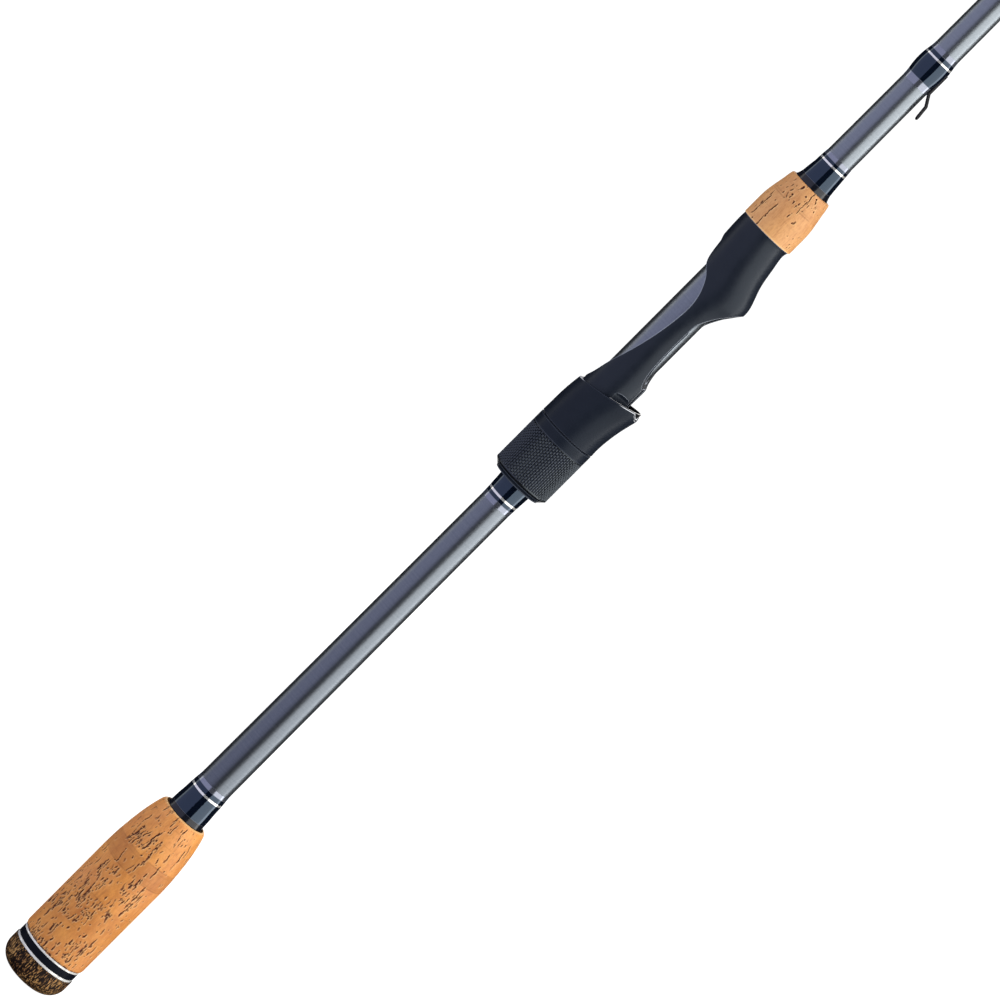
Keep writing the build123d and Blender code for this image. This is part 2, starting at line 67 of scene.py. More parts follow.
def add_camera():
    """Long lens at the photo's angle, rolled so that the rod runs from corner to corner."""
    data = bpy.data.cameras.new("studio_camera")
    data.sensor_width = SENSOR_MM
    data.lens = SENSOR_MM * VIEW_DISTANCE / VIEW_WIDTH
    camera = bpy.data.objects.new("studio_camera", data)
    bpy.context.scene.collection.objects.link(camera)
    target = Vector((0, 0, VIEW_HEIGHT))
    offset = around(VIEW_AZIMUTH, math.cos(VIEW_ELEVATION), math.sin(VIEW_ELEVATION))
    level = offset.to_track_quat("Z", "Y").to_matrix().to_4x4()
    camera.matrix_world = (
        Matrix.Translation(target + offset * VIEW_DISTANCE)
        @ level
        @ Matrix.Rotation(VIEW_ROLL, 4, "Z")
    )
    bpy.context.scene.camera = camera


def add_panel(name, start, end, radiance, colour):
    """Upright softbox facing the rod, between two azimuths in degrees from the camera's."""
    data = bpy.data.lights.new(name, "AREA")
    data.shape = "RECTANGLE"
    data.size = 2 * PANEL_DISTANCE * math.tan(math.radians(end - start) / 2)
    data.size_y = PANEL_HEIGHT
    data.energy = radiance * math.pi * data.size * data.size_y
    data.color = colour
    lamp = bpy.data.objects.new(name, data)
    bpy.context.scene.collection.objects.link(lamp)
    middle = VIEW_AZIMUTH + math.radians(start + end) / 2
    place = around(middle, PANEL_DISTANCE, PANEL_CENTRE)
    away = Vector((place.x, place.y, 0)).normalized()
    turned = away.to_track_quat("Z", "Y").to_matrix().to_4x4()
    lamp.matrix_world = Matrix.Translation(place) @ turned
    lamp.visible_camera = False


def add_lights():
    """Bright softboxes on the guides' side, dim bluish ones on the other, one behind."""
    warm, edge, cool = (1.0, 0.985, 0.96), (1.0, 0.98, 0.95), (0.74, 0.735, 1.0)
    add_panel("bright_panel", 30, 88, 1.9, warm)
    add_panel("bright_edge", 88, 103, 3.4, warm)
    add_panel("dim_panel", -93, -5, 0.71, cool)
    add_panel("dim_edge", -106, -94, 1.25, edge)
    add_panel("back_panel", 165, 195, 1.5, warm)


def add_surroundings():
    """White to the camera, a soft fill on matte surfaces, nearly dark in reflections."""
    bpy.context.scene.view_settings.view_transform = "Standard"
    world = bpy.data.worlds.new("studio")
    bpy.context.scene.world = world
    world.use_nodes = True
    nodes, links = world.node_tree.nodes, world.node_tree.links
    nodes.clear()
    rays = nodes.new("ShaderNodeLightPath")
    reflected, filled, seen = (nodes.new("ShaderNodeBackground") for _ in range(3))
    reflected.inputs["Color"].default_value = (0.9, 0.94, 1.0, 1)
    reflected.inputs["Strength"].default_value = 0.012
    filled.inputs["Color"].default_value = (0.92, 0.96, 1.0, 1)
    filled.inputs["Strength"].default_value = 0.5
    seen.inputs["Color"].default_value = (1, 1, 1, 1)
    unseen, either = nodes.new("ShaderNodeMixShader"), nodes.new("ShaderNodeMixShader")
    output = nodes.new("ShaderNodeOutputWorld")
    links.new(rays.outputs["Is Diffuse Ray"], unseen.inputs[0])
    links.new(reflected.outputs[0], unseen.inputs[1])
    links.new(filled.outputs[0], unseen.inputs[2])
    links.new(rays.outputs["Is Camera Ray"], either.inputs[0])
    links.new(unseen.outputs[0], either.inputs[1])
    links.new(seen.outputs[0], either.inputs[2])
    links.new(either.outputs[0], output.inputs["Surface"])


def add_floor():
    """Pale floor just under the butt cap. It is left out of the rod's reflections."""
    reach, drop = 40, 0.2 * MM
    sides = ((-1, -1), (1, -1), (1, 1), (-1, 1))
    mesh = bpy.data.meshes.new("floor")
    mesh.from_pydata([(x * reach, y * reach, -drop) for x, y in sides], [], [(0, 1, 2, 3)])
    floor = bpy.data.objects.new("floor", mesh)
    bpy.context.scene.collection.objects.link(floor)
    look = bpy.data.materials.new("floor")
    look.use_nodes = True
    shader = look.node_tree.nodes["Principled BSDF"]
    shader.inputs["Base Color"].default_value = (0.25, 0.25, 0.25, 1)
    shader.inputs["Roughness"].default_value = 1.0
    shader.inputs["Emission Color"].default_value = (1, 1, 1, 1)
    shader.inputs["Emission Strength"].default_value = 1.0
    mesh.materials.append(look)
    floor.visible_glossy = False
    floor.visible_diffuse = False
    floor.visible_shadow = False


# ---- materials ---------------------------------------------------------------------------------
class Look:
    """A Principled material under construction. Plain values go straight onto its sockets."""

    def __init__(self, name, colour, roughness, **sockets):
        self.material = bpy.data.materials.new(name)
        self.material.use_nodes = True
        self.nodes = self.material.node_tree.nodes
        self.links = self.material.node_tree.links
        self.shader = self.nodes["Principled BSDF"]
        self.put(self.shader.inputs["Base Color"], colour)
        self.put(self.shader.inputs["Roughness"], roughness)
        for socket, value in sockets.items():
            self.put(self.shader.inputs[socket.replace("_", " ")], value)
        self.coords = self.node("ShaderNodeTexCoord").outputs["Object"]

    def put(self, socket, value):
        """Link an output to a socket, or set a plain value on it."""
        if isinstance(value, bpy.types.NodeSocket):
            self.links.new(value, socket)
        elif isinstance(value, (tuple, list)) and len(value) == 3 and socket.type == "RGBA":
            socket.default_value = (*value, 1)
        else:
            socket.default_value = value

    def node(self, kind, values=(), **settings):
        """New node with settings, and values for its inputs by name or number."""
        made = self.nodes.new(kind)
        for name, value in settings.items():
            setattr(made, name, value)
        for socket, value in dict(values).items():
            self.put(made.inputs[socket], value)
        return made

    def math(self, operation, a, b=0.0):
        return self.node("ShaderNodeMath", {0: a, 1: b}, operation=operation).outputs[0]

    def split(self):
        """X, Y and Z of the piece's own coordinates."""
        return self.node("ShaderNodeSeparateXYZ", {0: self.coords}).outputs

    def stretched(self, x, y, z):
        """The piece's coordinates, scaled along each axis."""
        return self.node(
            "ShaderNodeVectorMath", {0: self.coords, 1: (x, y, z)}, operation="MULTIPLY"
        ).outputs[0]

    def noise(self, vector, scale=1.0, detail=2.0, roughness=0.5):
        made = self.node(
            "ShaderNodeTexNoise",
            {"Vector": vector, "Scale": scale, "Detail": detail, "Roughness": roughness},
        )
        return made.outputs["Fac"]

    def ramp(self, value, low, high, bottom=0.0, top=1.0):
        """Value mapped from low..high to bottom..top, held at the ends."""
        made = self.node("ShaderNodeMapRange", {0: value, 1: low, 2: high, 3: bottom, 4: top})
        return made.outputs[0]

    def band(self, value, low, high, edge):
        """One between low and high, falling to nought over edge at each side."""
        rise = self.ramp(value, low - edge, low + edge)
        fall = self.ramp(value, high - edge, high + edge, 1.0, 0.0)
        return self.math("MULTIPLY", rise, fall)

    def mix(self, factor, a, b):
        """Colour from a to b as factor goes from nought to one."""
        made = self.node("ShaderNodeMix", data_type="RGBA")
        self.put(made.inputs[0], factor)
        self.put(made.inputs[6], a)
        self.put(made.inputs[7], b)
        return made.outputs[2]

    def blend_values(self, factor, a, b):
        """Plain value from a to b as factor goes from nought to one."""
        made = self.node("ShaderNodeMix", data_type="FLOAT")
        self.put(made.inputs[0], factor)
        self.put(made.inputs[2], a)
        self.put(made.inputs[3], b)
        return made.outputs[0]

    def edges(self, reach_mm):
        """One along sharp edges, falling to nought on open faces."""
        soft = self.node("ShaderNodeBevel", {"Radius": reach_mm * MM}, samples=8).outputs[0]
        true = self.node("ShaderNodeNewGeometry").outputs["Normal"]
        both = self.node("ShaderNodeVectorMath", {0: soft, 1: true}, operation="DOT_PRODUCT")
        return self.ramp(both.outputs["Value"], 0.995, 0.90)

    def attribute(self, name):
        return self.node("ShaderNodeAttribute", attribute_name=name).outputs["Fac"]

    def bump(self, height, distance_mm, strength):
        made = self.node(
            "ShaderNodeBump", {"Height": height, "Distance": distance_mm * MM, "Strength": strength}
        )
        self.put(self.shader.inputs["Normal"], made.outputs[0])

    def colour(self, value):
        self.put(self.shader.inputs["Base Color"], value)

    def roughness(self, value):
        self.put(self.shader.inputs["Roughness"], value)


def blank_look(name):
    """Ground carbon under a thin satin finish, with fine lines round it, painted paler up the grip
    as a gradient of light.
    """
    look = Look(name, (0.17, 0.185, 0.215), 0.35, Metallic=1.0)
    lines = look.noise(look.stretched(6, 6, 1500), detail=3.0, roughness=0.7)
    grain = look.noise(look.stretched(2500, 2500, 1200), detail=1.0)
    tone = look.math("ADD", look.math("MULTIPLY", lines, 0.7), look.math("MULTIPLY", grain, 0.3))
    tone = look.ramp(tone, 0.3, 0.7)
    # Colours for low and high on the rod: the blank is painted paler up the grip, as light that
    # grows brighter towards the top.
    low = look.mix(tone, (0.180, 0.205, 0.238), (0.248, 0.275, 0.312))
    high = look.mix(tone, (0.246, 0.277, 0.310), (0.333, 0.370, 0.400))
    look.colour(look.mix(look.ramp(look.split()[2], 0.08, 0.48), low, high))
    look.roughness(look.ramp(lines, 0.3, 0.7, 0.33, 0.38))
    look.bump(lines, 0.02, 0.15)
    return look.material


def wrap_look(name, thread_mm):
    """Dark thread between two heights, under epoxy that runs on clear to both sides."""
    look = Look(name, (0.001, 0.003, 0.009), 0.04, IOR=1.6, Specular_IOR_Level=0.85)
    look.put(look.shader.inputs["Specular Tint"], (0.50, 0.67, 0.89))
    height = look.split()[2]
    low, high = (end * MM for end in thread_mm)
    covered = look.band(height, low, high, 0.12 * MM)
    turns = look.math("SINE", look.math("MULTIPLY", height, TURN / (0.18 * MM)))
    thread_tone = look.mix(look.ramp(turns, -1, 1), (0.001, 0.002, 0.006), (0.003, 0.006, 0.014))
    look.colour(look.mix(covered, (0.30, 0.32, 0.38), thread_tone))
    look.put(look.shader.inputs["Metallic"], look.ramp(covered, 0, 1, 0.85, 0.0))
    look.roughness(look.ramp(covered, 0, 1, 0.15, 0.04))
    look.bump(turns, 0.004, 0.15)
    return look.material


def silver_thread_look(name):
    """Metallic thread: fine turns under the same epoxy."""
    look = Look(name, (1.0, 0.98, 0.92), 0.09, Metallic=0.7)
    turns = look.math("SINE", look.math("MULTIPLY", look.split()[2], TURN / (0.16 * MM)))
    twist = look.noise(look.stretched(1800, 1800, 3000), detail=2.0)
    look.colour(look.mix(look.ramp(twist, 0.3, 0.7), (0.86, 0.85, 0.80), (1.0, 0.99, 0.95)))
    look.roughness(look.ramp(twist, 0.3, 0.7, 0.07, 0.13))
    look.bump(turns, 0.005, 0.15)
    return look.material


def polished_ring_look(name):
    """Turned and polished aluminium."""
    look = Look(name, (0.97, 0.96, 0.92), 0.09, Metallic=0.3)
    lines = look.noise(look.stretched(8, 8, 9000), detail=2.0)
    look.roughness(look.ramp(lines, 0.3, 0.7, 0.07, 0.14))
    look.colour(look.mix(lines, (0.90, 0.89, 0.86), (1.0, 0.99, 0.94)))
    return look.material


def black_trim_look(name):
    """Smooth black band between the bright rings."""
    look = Look(name, (0.010, 0.011, 0.018), 0.3, Specular_IOR_Level=0.05)
    haze = look.noise(look.stretched(350, 350, 350), detail=4.0)
    look.roughness(look.ramp(haze, 0.3, 0.7, 0.26, 0.36))
    look.colour(look.mix(haze, (0.004, 0.005, 0.009), (0.008, 0.009, 0.015)))
    return look.material


def gloss_black_look(name):
    """Glossy black moulding with the faintest blue."""
    look = Look(name, (0.006, 0.007, 0.011), 0.14, Specular_IOR_Level=0.5)
    haze = look.noise(look.stretched(350, 350, 350), detail=4.0)
    look.roughness(look.ramp(haze, 0.3, 0.7, 0.10, 0.18))
    look.colour(look.mix(haze, (0.004, 0.005, 0.008), (0.009, 0.010, 0.016)))
    return look.material


def cork_look(name, pale=0.0):
    """Turned cork. The mesh carries how deep each pit is, where a pale highlight is painted, and
    each ring's tone.
    """
    look = Look(name, (0.7, 0.28, 0.05), 0.48, Specular_IOR_Level=0.6)
    pit = look.attribute("pit")
    rim = look.attribute("rim")
    ring = look.attribute("tone")
    cloud = look.noise(look.stretched(150, 150, 70), detail=5.0, roughness=0.65)
    flecks = look.noise(look.stretched(1500, 1500, 700), detail=3.0, roughness=0.7)
    strands = look.noise(look.stretched(900, 900, 110), detail=3.0, roughness=0.6)
    blush = look.noise(look.stretched(70, 70, 45), detail=2.0)
    body = look.mix(look.ramp(cloud, 0.32, 0.68), (0.59, 0.195, 0.024), (0.87, 0.362, 0.066))
    body = look.mix(look.ramp(blush, 0.45, 0.70, 0, 0.6), body, (0.76, 0.300, 0.100))
    body = look.mix(pale, body, look.mix(cloud, (0.58, 0.262, 0.082), (0.79, 0.440, 0.175)))
    body = look.mix(look.ramp(flecks, 0.45, 0.75, 0, 0.45), body, (0.40, 0.11, 0.018))
    body = look.mix(look.ramp(strands, 0.58, 0.80, 0, 0.6), body, (0.34, 0.085, 0.012))
    body = look.mix(look.ramp(strands, 0.42, 0.22, 0, 0.4), body, (0.95, 0.48, 0.13))
    body = look.mix(look.math("MULTIPLY", ring, 0.6), body, (0.40, 0.125, 0.018))
    # Pale colour painted where the mesh marks a highlight: beside each pit on its lit side and
    # along the grip's ends.
    body = look.mix(look.math("MULTIPLY", rim, 0.6), body, (0.98, 0.62, 0.26))
    look.roughness(look.blend_values(pit, 0.55, 1.0))
    # Pits, cracks and glue lines are coloured dark brown by their depth: partly the cork's own dark
    # pits and joints, partly painted shade in the hollows.
    look.colour(look.mix(look.ramp(pit, 0.0, 0.75), body, (0.085, 0.014, 0.001)))
    look.bump(look.math("ADD", flecks, look.math("MULTIPLY", cloud, 0.5)), 0.12, 0.5)
    return look.material


def burl_cork_look(name):
    """Rubberised cork: dark binder packed with fine tan chips that run along the rod."""
    look = Look(name, (0.03, 0.014, 0.007), 0.6, Specular_IOR_Level=0.2)
    chips = look.noise(look.stretched(2300, 2300, 620), detail=2.0, roughness=0.55)
    drift = look.noise(look.stretched(160, 160, 160), detail=2.0)
    chips = look.math("ADD", chips, look.ramp(drift, 0.3, 0.7, -0.05, 0.05))
    tan = look.mix(look.ramp(drift, 0.35, 0.65), (0.31, 0.134, 0.040), (0.46, 0.245, 0.080))
    look.colour(look.mix(look.ramp(chips, 0.52, 0.66), (0.012, 0.004, 0.002), tan))
    look.bump(chips, 0.25, 0.8)
    return look.material


def seat_look(name, gloss, edge_highlight_colour, highlight_above=None):
    """Soft-touch matte moulding, blue-black, with a paler colour painted along its edges as a
    highlight.

    Above the height passed last, edges far from the axis along X are painted near white as a
    highlight.
    """
    look = Look(name, (0.013, 0.017, 0.027), 0.36, Specular_IOR_Level=gloss)
    look.put(look.shader.inputs["Specular Tint"], (0.84, 0.93, 1.0))
    cloud = look.noise(look.stretched(220, 220, 220), detail=4.0)
    grain = look.noise(look.stretched(5000, 5000, 5000), detail=1.0)
    body = look.mix(cloud, (0.008, 0.011, 0.018), (0.013, 0.017, 0.027))
    # Mask of the sharp edges, where a paler colour is painted as a highlight.
    painted_edge_highlight = look.edges(0.55)
    if highlight_above is not None:
        # On the hood's mouth, edges far out along X are painted near white as a highlight.
        sideways = look.ramp(look.math("ABSOLUTE", look.split()[0]), 7 * MM, 9 * MM)
        high = look.ramp(look.split()[2], highlight_above, highlight_above + 3 * MM)
        painted_mouth_highlight = look.math("MULTIPLY", sideways, high)
        edge_highlight_colour = look.mix(painted_mouth_highlight, edge_highlight_colour, (0.85, 0.87, 0.90))
    look.colour(look.mix(painted_edge_highlight, body, edge_highlight_colour))
    look.roughness(look.ramp(cloud, 0.3, 0.7, 0.33, 0.40))
    look.bump(grain, 0.01, 0.3)
    return look.material


def rubber_look(name):
    """Matte rubber, its colour painted paler on the knurl's tops as a highlight."""
    look = Look(name, (0.02, 0.022, 0.027), 0.36, Specular_IOR_Level=0.85)
    look.put(look.shader.inputs["Specular Tint"], (0.80, 0.91, 1.0))
    top = look.attribute("top")
    wear_and_sheen = look.noise(look.stretched(700, 700, 700), detail=3.0)
    base = look.mix(wear_and_sheen, (0.003, 0.004, 0.006), (0.006, 0.007, 0.010))
    # The studs' tops are painted paler as a highlight, patchy with the same noise that varies the
    # rubber's tone.
    look.colour(look.mix(look.math("MULTIPLY", top, wear_and_sheen), base, (0.026, 0.033, 0.050)))
    look.roughness(look.ramp(wear_and_sheen, 0.3, 0.7, 0.26, 0.40))
    return look.material


def steel_look(name):
    """Steel liner: its faces painted near black for the shade inside the hood's mouth, its edges
    painted near white as a highlight.
    """
    look = Look(name, (0.8, 0.8, 0.82), 0.16, Metallic=0.4)
    brush = look.noise(look.stretched(4000, 4000, 200), detail=2.0)
    look.roughness(look.ramp(brush, 0.3, 0.7, 0.12, 0.24))
    # Near black is painted on the faces as shade inside the mouth; the edges get a painted
    # near-white highlight.
    inside = look.mix(brush, (0.010, 0.011, 0.013), (0.03, 0.031, 0.035))
    look.colour(look.mix(look.edges(0.25), inside, (1.0, 1.0, 0.98)))
    return look.material


def wire_look(name):
    """Black plated wire."""
    look = Look(name, (0.006, 0.006, 0.008), 0.3, Specular_IOR_Level=0.25)
    wear = look.noise(look.stretched(900, 900, 900), detail=3.0)
    look.colour(look.mix(look.ramp(wear, 0.55, 0.8), (0.005, 0.005, 0.007), (0.02, 0.02, 0.024)))
    look.roughness(look.ramp(wear, 0.3, 0.7, 0.22, 0.38))
    return look.material


def frame_look(name):
    """Smoke-grey plated steel of the guide frames."""
    look = Look(name, (0.08, 0.082, 0.09), 0.24, Metallic=1.0)
    haze = look.noise(look.stretched(600, 600, 600), detail=3.0)
    look.colour(look.mix(haze, (0.055, 0.057, 0.064), (0.12, 0.122, 0.13)))
    look.roughness(look.ramp(haze, 0.3, 0.7, 0.18, 0.32))
    return look.material


def ceramic_look(name):
    """Polished dark ceramic of the guide rings."""
    look = Look(name, (0.02, 0.021, 0.025), 0.08, IOR=1.9)
    haze = look.noise(look.stretched(800, 800, 800), detail=3.0)
    look.colour(look.mix(haze, (0.016, 0.017, 0.02), (0.03, 0.031, 0.036)))
    look.roughness(look.ramp(haze, 0.3, 0.7, 0.05, 0.12))
    return look.material


def foam_look(name):
    """Rigid cream foam of the arbors inside the reel seat."""
    look = Look(name, (0.7, 0.62, 0.42), 0.9)
    cells = look.noise(look.stretched(2500, 2500, 2500), detail=2.0)
    look.colour(look.mix(cells, (0.55, 0.48, 0.3), (0.78, 0.71, 0.52)))
    look.bump(cells, 0.1, 0.6)
    return look.material


# ---- turned pieces with worked surfaces --------------------------------------------------------
def outline_of(node):
    """Outer outline of a turned CAD node, rising, and the bore's radius at its two ends."""
    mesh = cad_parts[node].data
    points = np.array([v.co for v in mesh.vertices])
    radius = np.hypot(points[:, 0], points[:, 1])
    height = np.round(points[:, 2], 6)
    outward = set()
    for face in mesh.polygons:
        if face.normal.xy.dot(face.center.xy) > 0.3 * face.center.xy.length:
            outward.update(face.vertices)
    outward = np.array(sorted(outward))
    heights = np.unique(height[outward])
    outer = np.array([radius[outward][height[outward] == level].max() for level in heights])
    bore = [radius[np.abs(height - level) < 0.01 * MM].min() for level in heights[[0, -1]]]
    return heights, outer, bore


def along(heights, radii, step):
    """The outline again, in equal steps along its own length."""
    run = np.concatenate(([0], np.cumsum(np.hypot(np.diff(heights), np.diff(radii)))))
    marks = np.linspace(0, run[-1], int(run[-1] / step) + 2)
    return np.interp(marks, run, heights), np.interp(marks, run, radii)


def turned_piece(name, heights, radii, bore, columns, material, marks):
    """Closed turned mesh. radii is rows by columns, and so is each named field in marks."""
    rows = len(heights)
    angle = np.arange(columns) * TURN / columns
    ring_z = np.concatenate(([heights[0]], heights, [heights[-1]]))
    ring_r = np.vstack((np.full(columns, bore[0]), radii, np.full(columns, bore[1])))
    total = rows + 2
    points = np.empty((total, columns, 3))
    points[..., 0] = ring_r * np.cos(angle)
    points[..., 1] = ring_r * np.sin(angle)
    points[..., 2] = ring_z[:, None]
    row, column = np.meshgrid(np.arange(total), np.arange(columns), indexing="ij")
    after = (row + 1) % total
    beside = (column + 1) % columns
    faces = np.stack(
        (
            row * columns + column,
            row * columns + beside,
            after * columns + beside,
            after * columns + column,
        ),
        axis=-1,
    ).reshape(-1, 4)
    mesh = bpy.data.meshes.new(name)
    mesh.from_pydata(points.reshape(-1, 3), [], faces.tolist())
    mesh.polygons.foreach_set("use_smooth", np.ones(len(faces), bool))
    mesh.set_sharp_from_angle(angle=math.radians(50))
    for mark, values in marks.items():
        padded = np.vstack((values[:1], values, values[-1:]))
        attribute = mesh.attributes.new(mark, "FLOAT", "POINT")
        attribute.data.foreach_set("value", padded.astype(np.float32).ravel())
    mesh.materials.append(material)
    piece = bpy.data.objects.new(name, mesh)
    bpy.context.scene.collection.objects.link(piece)
    return piece


# Fineness of the corks' meshes, and how deep the deepest pits go.
CORK_STEP = 0.26 * MM
CORK_COLUMNS = 330
PIT_DEPTH = 0.34 * MM


class CorkSkin:
    """Pits, cracks and tones over the unrolled surface of a cork grip."""

    def __init__(self, heights, radii, seed):
        self.draw = random.Random(seed)
        self.radius = float(radii.max())
        self.angle = np.arange(CORK_COLUMNS) * TURN / CORK_COLUMNS
        self.heights = heights
        shape = (len(heights), CORK_COLUMNS)
        self.pit = np.zeros(shape)
        self.rim = np.zeros(shape)
        self.tone = np.zeros(shape)
        self.shift = self.waves(9, 0.35 * MM, 1.6 * MM)
        self.drift = self.waves(9, 0.25 * MM, 1.3 * MM)

    def waves(self, count, size, length):
        """Smooth random field over the surface, seamless round it."""
        field = np.zeros(self.pit.shape)
        for _ in range(count):
            turns = self.draw.randint(3, int(self.radius / length * 1.5))
            rise = self.draw.uniform(-1, 1) * TURN / (2 * length)
            start = self.draw.uniform(0, TURN)
            field += np.sin(turns * self.angle[None, :] + rise * self.heights[:, None] + start)
        return field * size / math.sqrt(count)

    def add_pit(self, azimuth, height, length, width, depth=1.0, lean=0.0):
        """One pit: length along the rod, width round it, with a pale highlight painted beside it on
        its lit side.
        """
        across = (self.angle[None, :] - azimuth + math.pi) % TURN - math.pi
        across = across * self.radius + self.shift * min(1.0, width / (0.5 * MM))
        rows = np.abs(self.heights - height) < length * 1.5 + 1.2 * MM
        rise = (self.heights[rows, None] - height) + self.drift[rows]
        across = across[rows] - rise * lean
        distance = np.sqrt((across / width) ** 2 + (rise / length) ** 2)
        inside = np.clip((1.15 - distance) / 0.45, 0, 1)
        # The pale highlight is painted off centre, on the pit's side towards the guides, where the
        # bright lamps stand.
        shifted = (across - 0.5 * width - 0.1 * MM) / (width + 0.12 * MM)
        lit_side = np.sqrt(shifted**2 + (rise / (length + 0.1 * MM)) ** 2)
        rim = np.clip((1.25 - lit_side) / 0.5, 0, 1)
        rim *= np.clip((distance - 0.9) / 0.3, 0, 1)
        self.pit[rows] = np.maximum(self.pit[rows], inside * depth)
        self.rim[rows] = np.maximum(self.rim[rows], rim * depth)

    def scatter(self, count, low, high, longest, crowding=0.0):
        """Pits at random, long ones rare, gathered into drifts when crowding is over nought."""
        centre = self.draw.uniform(0, TURN)
        for _ in range(count):
            if self.draw.random() < 0.12:
                centre = self.draw.uniform(0, TURN)
            loose = centre + self.draw.gauss(0, 0.35)
            azimuth = loose if self.draw.random() < crowding else self.draw.uniform(0, TURN)
            length = longest * self.draw.random() ** 2.2 + 0.28 * MM
            width = self.draw.uniform(0.13, 0.30) * MM
            depth = self.draw.uniform(0.45, 1.0)
            height = self.draw.uniform(low, high)
            self.add_pit(azimuth, height, length, width, depth, self.draw.uniform(-0.25, 0.25))

    def crack(self, azimuth, height, length, width=0.22 * MM):
        """Long broken crack along the rod."""
        reach = 0.3 * MM
        while reach < length:
            bead = self.draw.uniform(0.5, 1.4) * MM
            thick = width * self.draw.uniform(0.6, 1.25)
            self.add_pit(azimuth, height + reach, bead, thick, self.draw.uniform(0.7, 1.0))
            azimuth += self.draw.gauss(0, 0.25) * MM / self.radius
            reach += bead * self.draw.uniform(0.9, 1.7)

    def seam(self, height, strength):
        """Glue line between two cork rings."""
        line = np.exp(-(((self.heights - height) / (0.16 * MM)) ** 2))[:, None]
        patchy = 0.5 + 0.5 * np.sin(5 * self.angle + height / MM)[None, :]
        self.pit = np.maximum(self.pit, line * strength * patchy)

    def painted_end_highlight(self, height, reach):
        """Pale highlight painted along the cork's end, where its edge catches the light."""
        rim = np.clip(1.2 - np.abs(self.heights - height) / reach, 0, 1)
        self.rim = np.maximum(self.rim, rim[:, None])

    def ring_tone(self, low, high, value):
        """Darken one cork ring, between two heights."""
        inside = (self.heights >= low) & (self.heights < high)
        self.tone[inside] = value

    def marks(self):
        """Values that the cork's material reads."""
        return {"pit": self.pit, "rim": self.rim, "tone": self.tone}


def seen_at(across, height, radius):
    """Azimuth and height of a spot on a turned piece, from where the camera sees it in mm.

    across is the distance from the rod's axis towards the guides, height the one along it.
    """
    off = math.asin(max(-0.97, min(0.97, across * MM / radius)))
    eye = VIEW_HEIGHT + VIEW_DISTANCE * math.sin(VIEW_ELEVATION)
    slope = (eye - height * MM) / (VIEW_DISTANCE * math.cos(VIEW_ELEVATION))
    return VIEW_AZIMUTH - math.pi / 2 + off, height * MM + radius * math.cos(off) * slope


def facing(degrees):
    """Azimuth on a turned piece, measured from the camera's side towards the guides."""
    return VIEW_AZIMUTH - math.pi / 2 + math.radians(degrees)


# Butt grip: heights of the joints between its cork rings, and of faint grain lines round it.
BUTT_SEAMS_MM = (28.3, 40.9, 54.8, 62.6)
BUTT_GRAIN_MM = (55.6, 57.2, 61.2, 70.4, 76.5)
# Each ring's number of loose pits and how dark it is, from the butt end.
BUTT_PITS = (150, 190, 130, 60, 170)
BUTT_TONES = (0.45, 0.42, 0.10, 0.70, 0.0)

# Cracks and gouges that stand out, as seen: start, end, distance from the axis, width of each.
BUTT_CRACKS_MM = (
    (15.5, 18.5, -10.0, 0.34), (20.5, 27, -10.2, 0.30), (18, 19.5, -5.4, 0.36),
    (26, 28.5, -1.5, 0.26), (13, 17, 0.2, 0.22), (13.5, 18, 6.8, 0.22), (18, 26.5, 7.9, 0.24),
    (24.5, 26, 5, 0.3), (38.5, 40.5, -7.8, 0.3), (35, 37.5, -5.5, 0.28), (39, 44.5, 8.6, 0.26),
    (45, 50, -8.4, 0.26), (42, 52, 7.8, 0.24), (48, 52, 3.8, 0.26), (48.5, 51.5, 5.3, 0.24),
    (52, 56, -5.8, 0.22), (54, 59.5, 0.7, 0.22), (56, 60.5, 6.8, 0.22), (61, 67, -8.5, 0.22),
    (60.5, 66, -6.6, 0.22), (62, 69, -1.8, 0.22), (61, 66, 1.3, 0.2), (67, 71, 10.3, 0.26),
    (69.5, 73.5, 5.6, 0.2), (74, 77, 4.9, 0.2), (71, 75, 0.2, 0.2), (74, 77, -1, 0.2),
    (76, 78.5, -8.3, 0.24), (75, 78, -5.7, 0.2), (68, 71, -9.8, 0.24),
)
# Patches of crowded pits, as seen: from, to, and the sides of each, with how many pits.
BUTT_PATCHES_MM = (
    (25, 37, -12, 2, 110), (12, 17, -11, -3, 35), (33, 37, 4, 6.5, 22), (60, 68, -9, 2, 60),
    (14, 24, 2, 9, 40), (39, 50, -9, -3, 36), (41, 51, 3, 9, 40),
)
# Cracks on the sides that the camera doesn't see: degrees, height above the base, length.
BUTT_HIDDEN_CRACKS_MM = (
    (100, 10, 12), (150, 30, 10), (-110, 22, 12), (-160, 44, 9), (125, 52, 7),
)
# Fore grip: height of its joint, its cracks as above, and its spots: height, distance, size.
FORE_SEAM_MM = 377.0
FORE_HIDDEN_CRACKS_MM = ((120, 3, 9), (-140, 5, 10))
FORE_CRACKS_MM = ((365, 376, -8.4, 0.26), (363.5, 373, -4.7, 0.24), (376, 384, 2.7, 0.18))
FORE_SPOTS_MM = (
    (370, -8.6, 0.5), (379.3, -3.2, 0.5), (383, -2.7, 0.55), (381.9, 0.8, 0.4), (383.5, 5, 0.5),
    (380, 7.2, 0.45),
)


